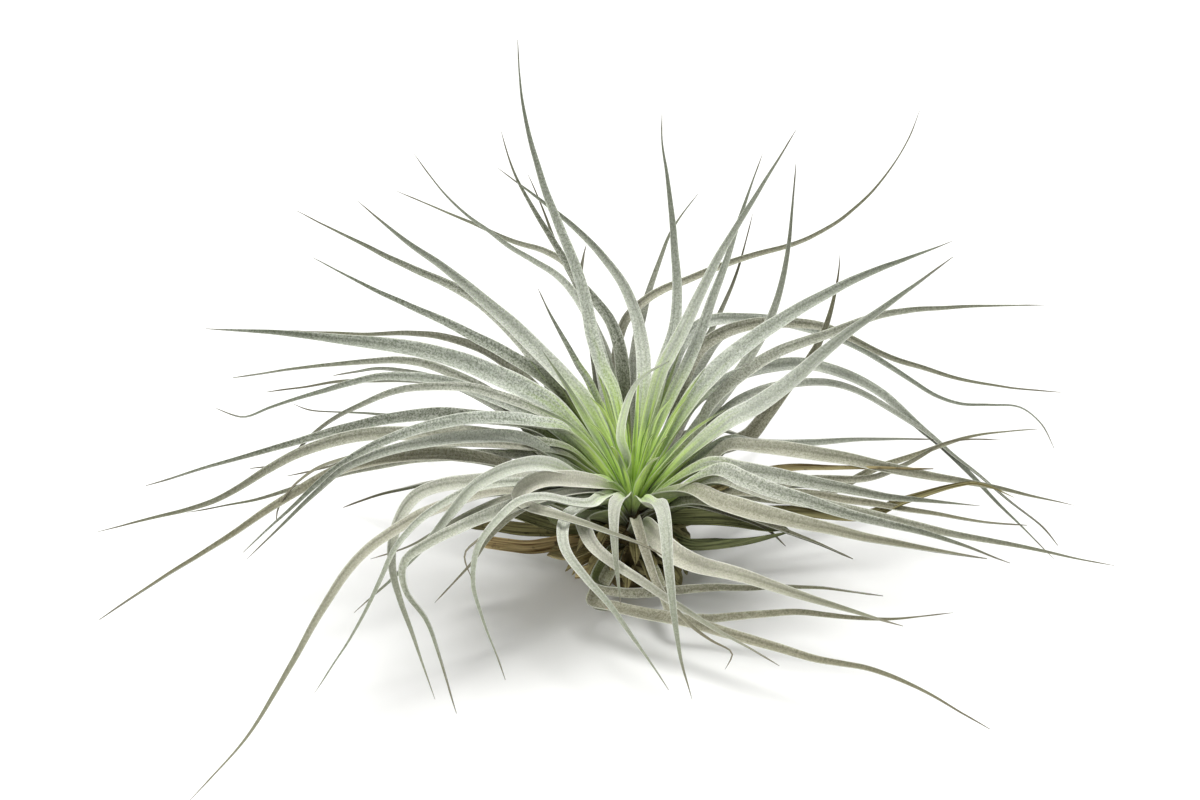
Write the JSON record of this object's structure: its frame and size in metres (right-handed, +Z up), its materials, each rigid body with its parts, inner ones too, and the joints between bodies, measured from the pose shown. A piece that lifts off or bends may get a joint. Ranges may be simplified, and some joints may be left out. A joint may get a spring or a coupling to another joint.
{
  "type": "air plant",
  "caption": "Free-standing air plant: a rosette of long, narrow, channelled, tapering leaves that arch out all round from a short stem with a flat resting face.",
  "frame": {"origin": "middle of the flat underside of the stem, on the surface that the plant stands on", "axes": "+Z up along the stem, -Y to the front, +X to the plant's right side as seen from the front"},
  "size_m": [0.2912, 0.222, 0.1555],
  "materials": {
    "leaf_grey_green": "living leaf under a felt of fine silvery scales: matt grey-green with faint lengthwise striations, greener at its base",
    "leaf_pale": "living leaf densely covered in silvery scales: pale matt grey-green",
    "leaf_dry": "old, cut and dried leaf: olive to tan, matt, with lengthwise ribs",
    "stem_bark": "short woody stem under brown papery remains of old leaf bases"
  },
  "bodies": {
    "root": {"stem": "stem_bark", "left_leaf_01": "leaf_grey_green", "left_leaf_02": "leaf_grey_green", "left_leaf_03": "leaf_grey_green", "left_leaf_04": "leaf_grey_green", "left_leaf_05": "leaf_grey_green", "left_leaf_06": "leaf_grey_green", "left_leaf_07": "leaf_grey_green", "left_leaf_08": "leaf_grey_green", "left_leaf_09": "leaf_grey_green", "left_leaf_10": "leaf_grey_green", "left_leaf_11": "leaf_grey_green", "left_leaf_12": "leaf_grey_green", "left_leaf_13": "leaf_grey_green", "left_leaf_14": "leaf_grey_green", "left_leaf_15": "leaf_grey_green", "front_leaf_01": "leaf_pale", "front_leaf_02": "leaf_pale", "front_leaf_03": "leaf_pale", "front_leaf_04": "leaf_pale", "front_leaf_05": "leaf_pale", "front_leaf_06": "leaf_pale", "front_leaf_07": "leaf_pale", "front_leaf_08": "leaf_pale", "front_leaf_09": "leaf_pale", "front_leaf_10": "leaf_pale", "front_leaf_11": "leaf_pale", "front_leaf_12": "leaf_pale", "front_leaf_13": "leaf_pale", "front_leaf_14": "leaf_pale", "right_leaf_01": "leaf_grey_green", "right_leaf_02": "leaf_grey_green", "right_leaf_03": "leaf_grey_green", "right_leaf_04": "leaf_grey_green", "right_leaf_05": "leaf_grey_green", "right_leaf_06": "leaf_grey_green", "right_leaf_07": "leaf_grey_green", "right_leaf_08": "leaf_grey_green", "right_leaf_09": "leaf_grey_green", "right_leaf_10": "leaf_grey_green", "right_leaf_11": "leaf_grey_green", "right_leaf_12": "leaf_grey_green", "right_leaf_13": "leaf_grey_green", "right_leaf_14": "leaf_grey_green", "right_leaf_15": "leaf_grey_green", "right_leaf_16": "leaf_grey_green", "right_leaf_17": "leaf_grey_green", "right_leaf_18": "leaf_grey_green", "right_leaf_19": "leaf_grey_green", "back_leaf_01": "leaf_grey_green", "back_leaf_02": "leaf_grey_green", "back_leaf_03": "leaf_grey_green", "back_leaf_04": "leaf_grey_green", "back_leaf_05": "leaf_grey_green", "back_leaf_06": "leaf_grey_green", "back_leaf_07": "leaf_grey_green", "back_leaf_08": "leaf_grey_green", "cut_leaf_01": "leaf_dry", "cut_leaf_02": "leaf_dry", "cut_leaf_03": "leaf_dry"}
  },
  "joints": []
}
